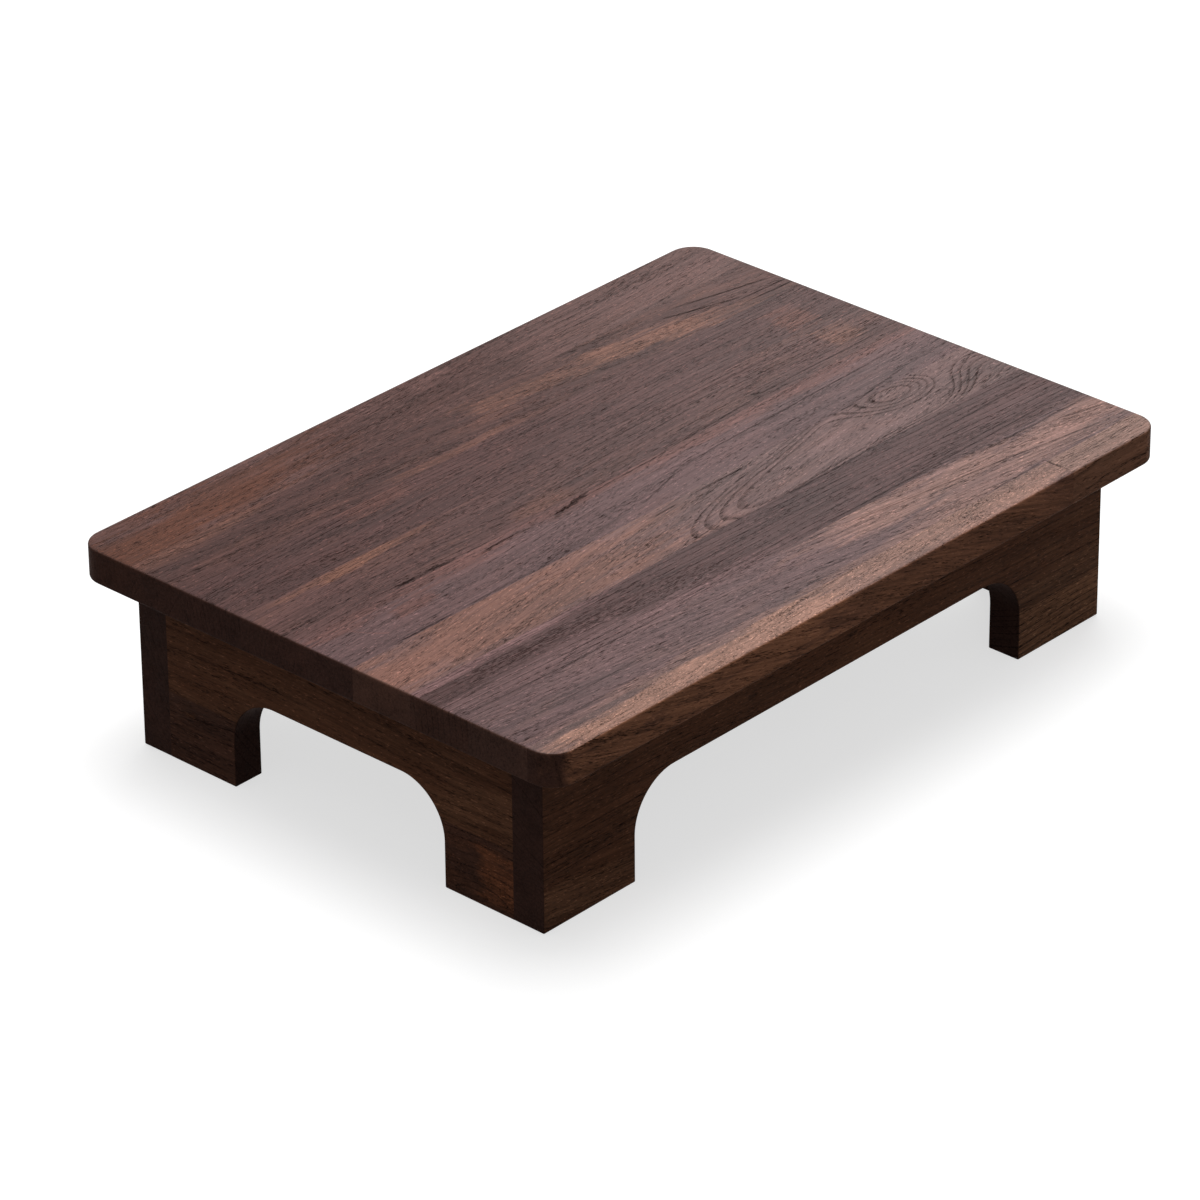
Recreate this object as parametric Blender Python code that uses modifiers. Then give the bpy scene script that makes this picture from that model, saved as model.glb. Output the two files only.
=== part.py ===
"""Low floor table: an edge-glued top on a frame of four arched aprons.

Metres, +Z up. X runs along the table and Y across it; the front is -Y and the left end is -X.
The origin is on the floor under the middle of the top.
"""

import math

import bmesh
import bpy
from mathutils import Vector

# Top panel
TOP_LENGTH = 0.500
TOP_WIDTH = 0.3525
TOP_THICKNESS = 0.0205
TABLE_HEIGHT = 0.124
TOP_CORNER_RADIUS = 0.016
TOP_EDGE_EASE = 0.0012

# Staves of the top panel, counted from the back edge
BACK_STAVE_WIDTH = 0.043
STAVE_WIDTH = 0.0415
NARROWEST_FRONT_STAVE = 0.012
FRONT_STAVE_RIGHT_LENGTH = 0.079

# Apron frame under the top
END_OVERHANG = 0.019
SIDE_OVERHANG = 0.0267
LONG_APRON_THICKNESS = 0.0215
END_APRON_THICKNESS = 0.020
LONG_FOOT_WIDTH = 0.0713
END_FOOT_WIDTH = 0.0713
ARCH_HEIGHT = 0.0592
ARCH_CORNER_RADIUS = 0.031
LONG_APRON_SEAM_HEIGHT = 0.030
END_APRON_SEAM_HEIGHT = 0.0415

# Blind dowels in the corner joints
DOWEL_RADIUS = 0.004
DOWEL_IN_LONG_APRON = 0.014
DOWEL_IN_END_APRON = 0.022
DOWEL_CHAMFER = 0.0008
LOW_DOWEL_HEIGHT = 0.017
HIGH_DOWEL_BELOW_BLOCK = 0.013

# Corner blocks and the screws through them
BLOCK_SIDE = 0.028
BLOCK_HEIGHT = 0.032
BLOCK_EDGE_EASE = 0.001
SCREW_HEAD_RADIUS = 0.004
SCREW_SHANK_RADIUS = 0.002
SCREW_HEAD_HEIGHT = 0.0024
SCREW_TIP_LENGTH = 0.004
SCREW_SINK = 0.0004
SCREW_BITE_IN_TOP = 0.012
SCREW_BITE_IN_APRON = 0.012
APRON_SCREW_INSET = 0.008
TOP_SCREW_EDGE = 0.009
END_SCREW_DROP = 0.009
LONG_SCREW_RISE = 0.009

# Fits
GLUE_GAP = 0.0003
HOLE_CLEARANCE = 0.0003
CUT_MARGIN = 0.010

# How finely the meshes are made
ARC_STEPS = 10
ROUND_SIDES = 16
EASE_STEPS = 2
SHARP_ANGLE = math.radians(40)
FLAT_ANGLE = 0.01
WELD_DISTANCE = 1e-6

# Colours, linear RGB
CHESTNUT = (0.110, 0.046, 0.030)
UMBER = (0.072, 0.030, 0.021)
PLUM = (0.068, 0.032, 0.026)
DARK_UMBER = (0.045, 0.019, 0.014)
TAN = (0.190, 0.092, 0.060)
INNER_WOOD = (0.120, 0.060, 0.034)
DOWEL_WOOD = (0.450, 0.300, 0.170)
ZINC = (0.560, 0.570, 0.580)
STAVE_TONES = (CHESTNUT, UMBER, PLUM, UMBER, PLUM, CHESTNUT, DARK_UMBER, PLUM)
WOOD_ROUGHNESS = 0.45
RAW_WOOD_ROUGHNESS = 0.7
ZINC_ROUGHNESS = 0.35

# Places worked out from the sizes above
UNDERSIDE = TABLE_HEIGHT - TOP_THICKNESS
APRON_TOP = UNDERSIDE - GLUE_GAP
FRAME_END = TOP_LENGTH / 2 - END_OVERHANG
FRAME_SIDE = TOP_WIDTH / 2 - SIDE_OVERHANG
INNER_END = FRAME_END - END_APRON_THICKNESS
INNER_SIDE = FRAME_SIDE - LONG_APRON_THICKNESS
BLOCK_TOP = UNDERSIDE - GLUE_GAP
BLOCK_BOTTOM = BLOCK_TOP - BLOCK_HEIGHT
ENDS = {"left": -1, "right": 1}
SIDES = {"front": -1, "back": 1}


def clear_scene():
    for obj in list(bpy.data.objects):
        bpy.data.objects.remove(obj, do_unlink=True)


def new_collection(name):
    collection = bpy.data.collections.new(name)
    bpy.context.scene.collection.children.link(collection)
    return collection


def new_material(name, colour, roughness, metallic=0.0):
    material = bpy.data.materials.new(name)
    material.use_nodes = True
    shader = material.node_tree.nodes["Principled BSDF"]
    shader.inputs["Base Color"].default_value = (*colour, 1.0)
    shader.inputs["Roughness"].default_value = roughness
    shader.inputs["Metallic"].default_value = metallic
    return material


def add_object(name, mesh, collection):
    obj = bpy.data.objects.new(name, mesh)
    collection.objects.link(obj)
    return obj


def finish_part(obj, colour, roughness, metallic=0.0):
    """Gives a piece its own material and hangs it on the table's empty."""
    obj.data.materials.append(new_material(obj.name, colour, roughness, metallic))
    obj.parent = table


def box(name, low, high, collection):
    """A closed box between two corners, with its sizes in its mesh."""
    low, high = Vector(low), Vector(high)
    shape = bmesh.new()
    bmesh.ops.create_cube(shape, size=1.0)
    bmesh.ops.scale(shape, vec=high - low, verts=shape.verts)
    mesh = bpy.data.meshes.new(name)
    shape.to_mesh(mesh)
    shape.free()
    obj = add_object(name, mesh, collection)
    obj.location = (low + high) / 2
    return obj


def arc(centre_x, centre_y, radius, start_deg, end_deg):
    """Points on an arc, both ends included."""
    points = []
    for step in range(ARC_STEPS + 1):
        angle = math.radians(start_deg + (end_deg - start_deg) * step / ARC_STEPS)
        points.append((centre_x + radius * math.cos(angle), centre_y + radius * math.sin(angle)))
    return points


def outline_solid(name, points, thickness, upright_turn=None):
    """A flat outline with a thickness, as a cutter; upright_turn stands it up, facing that way round Z."""
    curve = bpy.data.curves.new(name, "CURVE")
    curve.dimensions = "2D"
    curve.fill_mode = "BOTH"
    curve.extrude = thickness / 2
    spline = curve.splines.new("POLY")
    spline.points.add(len(points) - 1)
    for point, (x, y) in zip(spline.points, points):
        point.co = (x, y, 0.0, 1.0)
    spline.use_cyclic_u = True
    drawn = add_object(name + "_outline", curve, cutters)
    if upright_turn is not None:
        drawn.rotation_euler = (math.pi / 2, 0.0, upright_turn)
    bpy.context.view_layer.update()
    mesh = bpy.data.meshes.new_from_object(drawn.evaluated_get(bpy.context.evaluated_depsgraph_get()))
    shape = bmesh.new()
    shape.from_mesh(mesh)
    bmesh.ops.remove_doubles(shape, verts=shape.verts, dist=WELD_DISTANCE)
    bmesh.ops.dissolve_limit(shape, angle_limit=FLAT_ANGLE, verts=shape.verts, edges=shape.edges)
    bmesh.ops.recalc_face_normals(shape, faces=shape.faces)
    shape.to_mesh(mesh)
    shape.free()
    solid = add_object(name, mesh, cutters)
    solid.matrix_world = drawn.matrix_world
    bpy.data.objects.remove(drawn, do_unlink=True)
    hide_cutter(solid)
    return solid


def turned(name, profile, collection):
    """A round piece: a half profile, drawn from its top down its outer side, spun about Z."""
    mesh = bpy.data.meshes.new(name)
    edges = [(i, i + 1) for i in range(len(profile) - 1)]
    mesh.from_pydata([(radius, 0.0, height) for radius, height in profile], edges, [])
    obj = add_object(name, mesh, collection)
    spin = obj.modifiers.new("spin", "SCREW")
    spin.steps = ROUND_SIDES
    spin.render_steps = ROUND_SIDES
    spin.use_merge_vertices = True
    spin.merge_threshold = WELD_DISTANCE
    return obj


def cylinder(name, radius, length, collection):
    """A round bar along Z, centred on its own origin."""
    shape = bmesh.new()
    bmesh.ops.create_cone(
        shape, cap_ends=True, segments=ROUND_SIDES, radius1=radius, radius2=radius, depth=length
    )
    mesh = bpy.data.meshes.new(name)
    shape.to_mesh(mesh)
    shape.free()
    return add_object(name, mesh, collection)


def hide_cutter(obj):
    obj.hide_render = True
    obj.display_type = "WIRE"


def aim(obj, place, direction):
    """Places a round piece with its lower end pointing along a direction."""
    obj.location = place
    obj.rotation_euler = Vector((0.0, 0.0, -1.0)).rotation_difference(Vector(direction)).to_euler()


def cut(obj, cutter, operation="DIFFERENCE"):
    boolean = obj.modifiers.new(operation.lower(), "BOOLEAN")
    boolean.operation = operation
    boolean.solver = "EXACT"
    boolean.object = cutter


def ease(obj, width):
    """Breaks the sharp edges of a piece."""
    bevel = obj.modifiers.new("eased edges", "BEVEL")
    bevel.width = width
    bevel.segments = EASE_STEPS
    bevel.limit_method = "ANGLE"
    bevel.angle_limit = SHARP_ANGLE


def top_outline():
    """The top's plan: a rectangle with four round corners."""
    along = TOP_LENGTH / 2 - TOP_CORNER_RADIUS
    across = TOP_WIDTH / 2 - TOP_CORNER_RADIUS
    points = []
    points += arc(along, across, TOP_CORNER_RADIUS, 0, 90)
    points += arc(-along, across, TOP_CORNER_RADIUS, 90, 180)
    points += arc(-along, -across, TOP_CORNER_RADIUS, 180, 270)
    points += arc(along, -across, TOP_CORNER_RADIUS, 270, 360)
    return points


def apron_outline(half_length, half_arch):
    """An apron's face: a board with a flat arch cut out of its lower edge, its upper corners round."""
    spring = ARCH_HEIGHT - ARCH_CORNER_RADIUS
    shoulder = half_arch - ARCH_CORNER_RADIUS
    points = [(-half_length, 0.0), (-half_arch, 0.0)]
    points += arc(-shoulder, spring, ARCH_CORNER_RADIUS, 180, 90)
    points += arc(shoulder, spring, ARCH_CORNER_RADIUS, 90, 0)
    points += [(half_arch, 0.0), (half_length, 0.0), (half_length, APRON_TOP), (-half_length, APRON_TOP)]
    return points


def screw_profile(length, clearance=0.0, mouth=0.0):
    """Half a countersunk screw, head up; clearance makes it the hole for that screw, open for mouth."""
    head = SCREW_HEAD_RADIUS + clearance
    shank = SCREW_SHANK_RADIUS + clearance
    rim = [(head, mouth)] if mouth else []
    return [
        (0.0, mouth),
        *rim,
        (head, 0.0),
        (shank, -SCREW_HEAD_HEIGHT),
        (shank, SCREW_TIP_LENGTH - length),
        (0.0, -length - clearance),
    ]


def build_top():
    """Staves glued edge to edge, then trimmed as one panel to the rounded outline."""
    panel = outline_solid("top_panel", top_outline(), TOP_THICKNESS)
    panel.location.z = UNDERSIDE + TOP_THICKNESS / 2
    ease(panel, TOP_EDGE_EASE)

    room = TOP_WIDTH - BACK_STAVE_WIDTH - NARROWEST_FRONT_STAVE
    inner_staves = int(room / STAVE_WIDTH)
    joints = [TOP_WIDTH / 2 - BACK_STAVE_WIDTH - i * STAVE_WIDTH for i in range(inner_staves + 1)]
    back_edges = [TOP_WIDTH / 2 + CUT_MARGIN] + [joint - GLUE_GAP / 2 for joint in joints]
    front_edges = [joint + GLUE_GAP / 2 for joint in joints] + [-TOP_WIDTH / 2 - CUT_MARGIN]
    reach = TOP_LENGTH / 2 + CUT_MARGIN
    end_joint = TOP_LENGTH / 2 - FRONT_STAVE_RIGHT_LENGTH

    runs = [(f"top_stave_{i + 1}", -reach, reach, i) for i in range(inner_staves + 1)]
    runs.append(("front_stave_left", -reach, end_joint - GLUE_GAP / 2, inner_staves + 1))
    runs.append(("front_stave_right", end_joint + GLUE_GAP / 2, reach, inner_staves + 1))
    staves = []
    for name, left, right, row in runs:
        low = (left, front_edges[row], UNDERSIDE - CUT_MARGIN)
        high = (right, back_edges[row], TABLE_HEIGHT + CUT_MARGIN)
        stave = box(name, low, high, parts)
        cut(stave, panel, "INTERSECT")
        tone = TAN if row > inner_staves else STAVE_TONES[row % len(STAVE_TONES)]
        finish_part(stave, tone, WOOD_ROUGHNESS)
        staves.append(stave)
    return staves


def build_apron(name, blank, seam, run, foot_names):
    """One rail board and two foot boards, sawn out of the apron's outline along its glue seam."""
    reach = max(TOP_LENGTH, TOP_WIDTH)
    rail_low = (-reach, -reach, seam + GLUE_GAP / 2)
    rail = box(f"{name}_apron_rail", rail_low, (reach, reach, TABLE_HEIGHT), parts)
    boards = [rail]
    for foot_name, sign in foot_names.items():
        low = Vector((-reach, -reach, -CUT_MARGIN))
        high = Vector((reach, reach, seam - GLUE_GAP / 2))
        low[run] = min(0.0, sign * reach)
        high[run] = max(0.0, sign * reach)
        boards.append(box(f"{name}_apron_{foot_name}_foot", low, high, parts))
    for board in boards:
        cut(board, blank, "INTERSECT")
        finish_part(board, UMBER, WOOD_ROUGHNESS)
    return boards


def build_frame():
    """Two long aprons, and two end aprons butted between them."""
    aprons = {}
    long_outline = apron_outline(FRAME_END, FRAME_END - LONG_FOOT_WIDTH)
    for name, side in SIDES.items():
        blank = outline_solid(f"{name}_apron_blank", long_outline, LONG_APRON_THICKNESS, 0.0)
        blank.location.y = side * (FRAME_SIDE - LONG_APRON_THICKNESS / 2)
        aprons[name] = build_apron(name, blank, LONG_APRON_SEAM_HEIGHT, 0, ENDS)
    end_outline = apron_outline(INNER_SIDE - GLUE_GAP, FRAME_SIDE - END_FOOT_WIDTH)
    for name, end in ENDS.items():
        blank = outline_solid(f"{name}_apron_blank", end_outline, END_APRON_THICKNESS, math.pi / 2)
        blank.location.x = end * (FRAME_END - END_APRON_THICKNESS / 2)
        aprons[name] = build_apron(name, blank, END_APRON_SEAM_HEIGHT, 1, SIDES)
    return aprons


def add_dowels(corner, end, side, boards):
    """Two blind dowels across the butt joint, from the long apron into the end apron's end."""
    length = DOWEL_IN_LONG_APRON + DOWEL_IN_END_APRON
    middle = INNER_SIDE + (DOWEL_IN_LONG_APRON - DOWEL_IN_END_APRON) / 2
    for level, height in (("low", LOW_DOWEL_HEIGHT), ("high", BLOCK_BOTTOM - HIGH_DOWEL_BELOW_BLOCK)):
        place = (end * (FRAME_END - END_APRON_THICKNESS / 2), side * middle, height)
        dowel = cylinder(f"{corner}_dowel_{level}", DOWEL_RADIUS, length, parts)
        ease(dowel, DOWEL_CHAMFER)
        hole_radius = DOWEL_RADIUS + HOLE_CLEARANCE
        hole = cylinder(f"{corner}_dowel_hole_{level}", hole_radius, length + 2 * HOLE_CLEARANCE, cutters)
        hide_cutter(hole)
        for bar in (dowel, hole):
            aim(bar, place, (0.0, side, 0.0))
        for board in boards:
            cut(board, hole)
        finish_part(dowel, DOWEL_WOOD, RAW_WOOD_ROUGHNESS)


def add_screw(name, place, direction, length, held):
    """A countersunk screw, sunk a little below the face it is driven from, and its hole in what it holds."""
    screw = turned(name, screw_profile(length), parts)
    hole = turned(name + "_hole", screw_profile(length, HOLE_CLEARANCE, CUT_MARGIN), cutters)
    hide_cutter(hole)
    seat = Vector(place) + SCREW_SINK * Vector(direction)
    for piece in (screw, hole):
        aim(piece, seat, direction)
    for piece in held:
        cut(piece, hole)
    finish_part(screw, ZINC, ZINC_ROUGHNESS, 1.0)


def add_corner_block(corner, end, side, long_boards, end_boards, staves):
    """A block glued into the corner of the frame, with a screw into each apron and one up into the top."""
    corner_x, corner_y = INNER_END - GLUE_GAP, INNER_SIDE - GLUE_GAP
    near_x, near_y = end * (corner_x - BLOCK_SIDE), side * (corner_y - BLOCK_SIDE)
    far_x, far_y = end * corner_x, side * corner_y
    low = (min(near_x, far_x), min(near_y, far_y), BLOCK_BOTTOM)
    high = (max(near_x, far_x), max(near_y, far_y), BLOCK_TOP)
    block = box(f"{corner}_corner_block", low, high, parts)
    ease(block, BLOCK_EDGE_EASE)

    through_block = BLOCK_SIDE + GLUE_GAP - SCREW_SINK
    end_seat = (near_x, side * (corner_y - APRON_SCREW_INSET), BLOCK_TOP - END_SCREW_DROP)
    end_length = through_block + SCREW_BITE_IN_APRON
    add_screw(f"{corner}_end_apron_screw", end_seat, (end, 0.0, 0.0), end_length, [block, *end_boards])
    long_seat = (end * (corner_x - APRON_SCREW_INSET), near_y, BLOCK_BOTTOM + LONG_SCREW_RISE)
    long_length = through_block + SCREW_BITE_IN_APRON
    add_screw(f"{corner}_long_apron_screw", long_seat, (0.0, side, 0.0), long_length, [block, *long_boards])
    top_seat = (near_x + end * TOP_SCREW_EDGE, near_y + side * TOP_SCREW_EDGE, BLOCK_BOTTOM)
    top_length = BLOCK_HEIGHT + GLUE_GAP - SCREW_SINK + SCREW_BITE_IN_TOP
    add_screw(f"{corner}_top_screw", top_seat, (0.0, 0.0, 1.0), top_length, [block, *staves])
    finish_part(block, INNER_WOOD, RAW_WOOD_ROUGHNESS)


clear_scene()
parts = new_collection("low_floor_table")
cutters = new_collection("cutters")
table = bpy.data.objects.new("table", None)
parts.objects.link(table)

top_staves = build_top()
frame_boards = build_frame()
for side_name, side_sign in SIDES.items():
    for end_name, end_sign in ENDS.items():
        corner_name = f"{side_name}_{end_name}"
        long_apron, end_apron = frame_boards[side_name], frame_boards[end_name]
        add_dowels(corner_name, end_sign, side_sign, long_apron + end_apron)
        add_corner_block(corner_name, end_sign, side_sign, long_apron, end_apron, top_staves)
bpy.context.view_layer.update()
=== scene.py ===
"""Looks of the low floor table: stained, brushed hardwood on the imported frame, in a pale studio."""

import math

import bmesh
import bpy
from mathutils import Matrix, Vector


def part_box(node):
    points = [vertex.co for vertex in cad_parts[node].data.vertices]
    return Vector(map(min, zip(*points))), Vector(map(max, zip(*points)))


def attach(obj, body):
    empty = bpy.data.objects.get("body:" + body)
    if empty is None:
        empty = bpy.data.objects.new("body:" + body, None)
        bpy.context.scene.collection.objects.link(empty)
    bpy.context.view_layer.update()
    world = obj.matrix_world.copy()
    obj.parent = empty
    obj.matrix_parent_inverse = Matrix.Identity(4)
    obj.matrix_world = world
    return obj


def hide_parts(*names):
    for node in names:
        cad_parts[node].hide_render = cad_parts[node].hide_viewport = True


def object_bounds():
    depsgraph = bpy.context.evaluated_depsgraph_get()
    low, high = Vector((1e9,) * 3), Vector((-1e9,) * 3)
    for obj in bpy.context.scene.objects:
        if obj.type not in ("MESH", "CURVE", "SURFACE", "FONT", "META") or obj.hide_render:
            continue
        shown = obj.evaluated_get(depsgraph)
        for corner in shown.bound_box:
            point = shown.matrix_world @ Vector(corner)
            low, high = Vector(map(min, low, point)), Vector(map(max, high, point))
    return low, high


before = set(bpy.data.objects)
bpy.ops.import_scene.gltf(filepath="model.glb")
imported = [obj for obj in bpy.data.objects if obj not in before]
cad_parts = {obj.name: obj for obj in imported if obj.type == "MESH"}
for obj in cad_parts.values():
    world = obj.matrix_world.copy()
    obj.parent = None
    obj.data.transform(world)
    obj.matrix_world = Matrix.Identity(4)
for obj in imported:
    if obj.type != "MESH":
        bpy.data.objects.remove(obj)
cad_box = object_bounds()


# Aprons
# Four arched hardwood boards on edge, each glued up from a rail and two foot boards, then sawn to the arch.
# The long ones run the whole length of the frame, so their end grain shows at its corners. The short ones
# butt between them.
ARCH_HEIGHT = 0.0592
ARCH_RADIUS = 0.031
FOOT_WIDTH = 0.0713
ARCH_STEPS = 24
APRON_EASE = 0.0008
EASE_STEPS = 3
SHARP_FOLD = math.radians(50)
TOLERANCE = 1e-5
GRAIN_DEPTH = 0.00035
DULL_GLOSS = 0.01
WAX_ROUGHNESS = 0.35
DARK_LATE = (0.020, 0.008, 0.006)
# Darkens the aprons' sawn faces: partly stain soaked into the cut, partly painted shade inside the arch
SAWN_STAIN_AND_SHADE = (0.42, 0.43, 0.59)
END_STAIN = (0.058, 0.0285, 0.0222)
LONG_AXES = Matrix(((1, 0, 0), (0, 0, 1), (0, -1, 0)))
END_AXES = Matrix(((0, 1, 0), (0, 0, 1), (1, 0, 0)))


class Field:
    """A number that varies over a piece. Arithmetic on it adds the nodes that work it out."""

    def __init__(self, tree, socket):
        self.tree = tree
        self.socket = socket

    def math(self, operation, *others):
        node = put(self.tree, "ShaderNodeMath", dict(enumerate((self, *others))), operation=operation)
        return Field(self.tree, node.outputs[0])

    def __add__(self, other):
        return self.math("ADD", other)

    def __sub__(self, other):
        return self.math("SUBTRACT", other)

    def __rsub__(self, other):
        return self.math("MULTIPLY_ADD", -1.0, other)

    def __mul__(self, other):
        return self.math("MULTIPLY", other)

    def __truediv__(self, other):
        return self.math("DIVIDE", other)

    __radd__ = __add__


def put(tree, kind, feeds=None, **settings):
    """Adds a node with its settings, and feeds its inputs from fields, sockets or plain values."""
    node = tree.nodes.new(kind)
    for name, value in settings.items():
        setattr(node, name, value)
    for key, value in (feeds or {}).items():
        source = value.socket if isinstance(value, Field) else value
        if isinstance(source, bpy.types.NodeSocket):
            tree.links.new(source, node.inputs[key])
        else:
            node.inputs[key].default_value = source
    return node


def start_tree(name, kind, inputs, outputs):
    """A node group with named sockets; returns it with its inputs as fields and its outputs as sockets."""
    tree = bpy.data.node_groups.new(name, kind)
    for in_out, sockets in (("INPUT", inputs), ("OUTPUT", outputs)):
        for socket_name, socket_kind in sockets.items():
            tree.interface.new_socket(socket_name, in_out=in_out, socket_type="NodeSocket" + socket_kind)
    source = tree.nodes.new("NodeGroupInput")
    given = {socket_name: Field(tree, source.outputs[socket_name]) for socket_name in inputs}
    return tree, given, tree.nodes.new("NodeGroupOutput").inputs


def split(tree, vector):
    parts = put(tree, "ShaderNodeSeparateXYZ", {0: vector})
    return [Field(tree, socket) for socket in parts.outputs]


def joined(tree, x, y, z):
    return put(tree, "ShaderNodeCombineXYZ", {0: x, 1: y, 2: z}).outputs[0]


def smooth(field, low, high):
    """Rises gently from 0 at low to 1 at high."""
    feeds = {"Value": field, "From Min": low, "From Max": high}
    node = put(field.tree, "ShaderNodeMapRange", feeds, interpolation_type="SMOOTHSTEP")
    return Field(field.tree, node.outputs[0])


def clouds(tree, x, y, z, detail=2.0, roughness=0.5):
    """Soft random patches, one unit across."""
    feeds = {"Vector": joined(tree, x, y, z), "Scale": 1.0, "Detail": detail, "Roughness": roughness}
    return Field(tree, put(tree, "ShaderNodeTexNoise", feeds).outputs["Fac"])


def blended(tree, share, first, second):
    return put(tree, "ShaderNodeMix", {0: share, 6: first, 7: second}, data_type="RGBA").outputs[2]


def brightened(tree, colour, factor):
    return put(tree, "ShaderNodeVectorMath", {0: colour, "Scale": factor}, operation="SCALE").outputs[0]


def growth_rings_group():
    """Year rings round a slanting pith: what a saw cut through the log shows on any face of a board."""
    floats = ("Pith Y", "Pith Z", "Pith Drift", "Pith Rise", "Ring Width", "First Ring", "Ring Count",
              "Late Share", "Fine Lines", "Waver", "Evenness", "Swell", "Seed")
    inputs = {"Position": "Vector", **{name: "Float" for name in floats}}
    outputs = {"Late Wood": "Float", "Band": "Float", "Run": "Vector"}
    tree, given, made = start_tree("growth_rings", "ShaderNodeTree", inputs, outputs)
    x, y, z = split(tree, given["Position"])
    seed, even = given["Seed"], given["Evenness"]

    # The log's axis slants and wanders, so the fibres do too
    sway_across = clouds(tree, x * 6.0 + seed, y * 18.0 + seed, z * 18.0, 0.0)
    sway_below = clouds(tree, x * 6.0 - seed, y * 18.0, z * 18.0 + seed, 0.0)
    wander = given["Waver"] * 4.0
    across = y - given["Pith Y"] - given["Pith Drift"] * x + wander * (sway_across - 0.5)
    below = z - given["Pith Z"] - given["Pith Rise"] * x + wander * (sway_below - 0.5)
    radius = (across * across + below * below).math("SQRT") + given["Swell"]

    # Good and poor years give rings of unlike width and strength
    count = (radius - given["First Ring"]) / given["Ring Width"]
    age = count + (clouds(tree, count * 0.45 + seed, seed * 3.0, 0.0) - 0.5) * 2.4 * (1.0 - even)
    season = age.math("FRACT")
    year = put(tree, "ShaderNodeTexWhiteNoise", {"W": age.math("FLOOR") * 0.731 + seed},
               noise_dimensions="1D")
    strength = Field(tree, year.outputs["Value"])
    late = smooth(season, 1.0 - given["Late Share"], 0.93) * (1.0 - smooth(season, 0.95, 1.0))
    fine = (age * given["Fine Lines"] * (2 * math.pi)).math("COSINE") * 0.5 + 0.5
    broken = smooth(clouds(tree, x * 30.0, radius * 220.0, seed + 7.0), 0.36, 0.64)
    ringed = smooth(age, -0.04, 0.0) * (1.0 - smooth(age, given["Ring Count"], given["Ring Count"] + 0.04))
    late_wood = late * fine * ringed * (even + (1.0 - even) * strength) * (even + (1.0 - even) * broken)
    band = clouds(tree, age * 0.6 + seed, x * 2.0, seed)
    tree.links.new(late_wood.socket, made["Late Wood"])
    tree.links.new(band.socket, made["Band"])
    tree.links.new(joined(tree, x, across, below), made["Run"])
    return tree


def streak_group():
    """A mark along the grain, frayed all round: a warm or pale stripe, a dark vein or a check."""
    floats = ("X", "Y", "Fray", "Stray", "Middle X", "Middle Y", "Half Length", "Half Width", "Slope",
              "Bend", "Ragged")
    inputs = {name: "Float" for name in floats}
    tree, given, made = start_tree("grain_streak", "ShaderNodeTree", inputs, {"Mask": "Float"})
    along = given["X"] - given["Middle X"]
    middle = given["Middle Y"] + (given["Slope"] + given["Bend"] * along) * along
    off = (given["Y"] - middle) / given["Half Width"] + given["Stray"] * 1.6
    side = off.math("ABSOLUTE") + given["Fray"] * given["Ragged"] * 2.4
    end = (along / given["Half Length"]).math("ABSOLUTE") + given["Fray"] * 0.9
    mask = (1.0 - smooth(side, 0.3, 1.0)) * (1.0 - smooth(end, 0.5, 1.0))
    tree.links.new(mask.socket, made["Mask"])
    return tree


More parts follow.
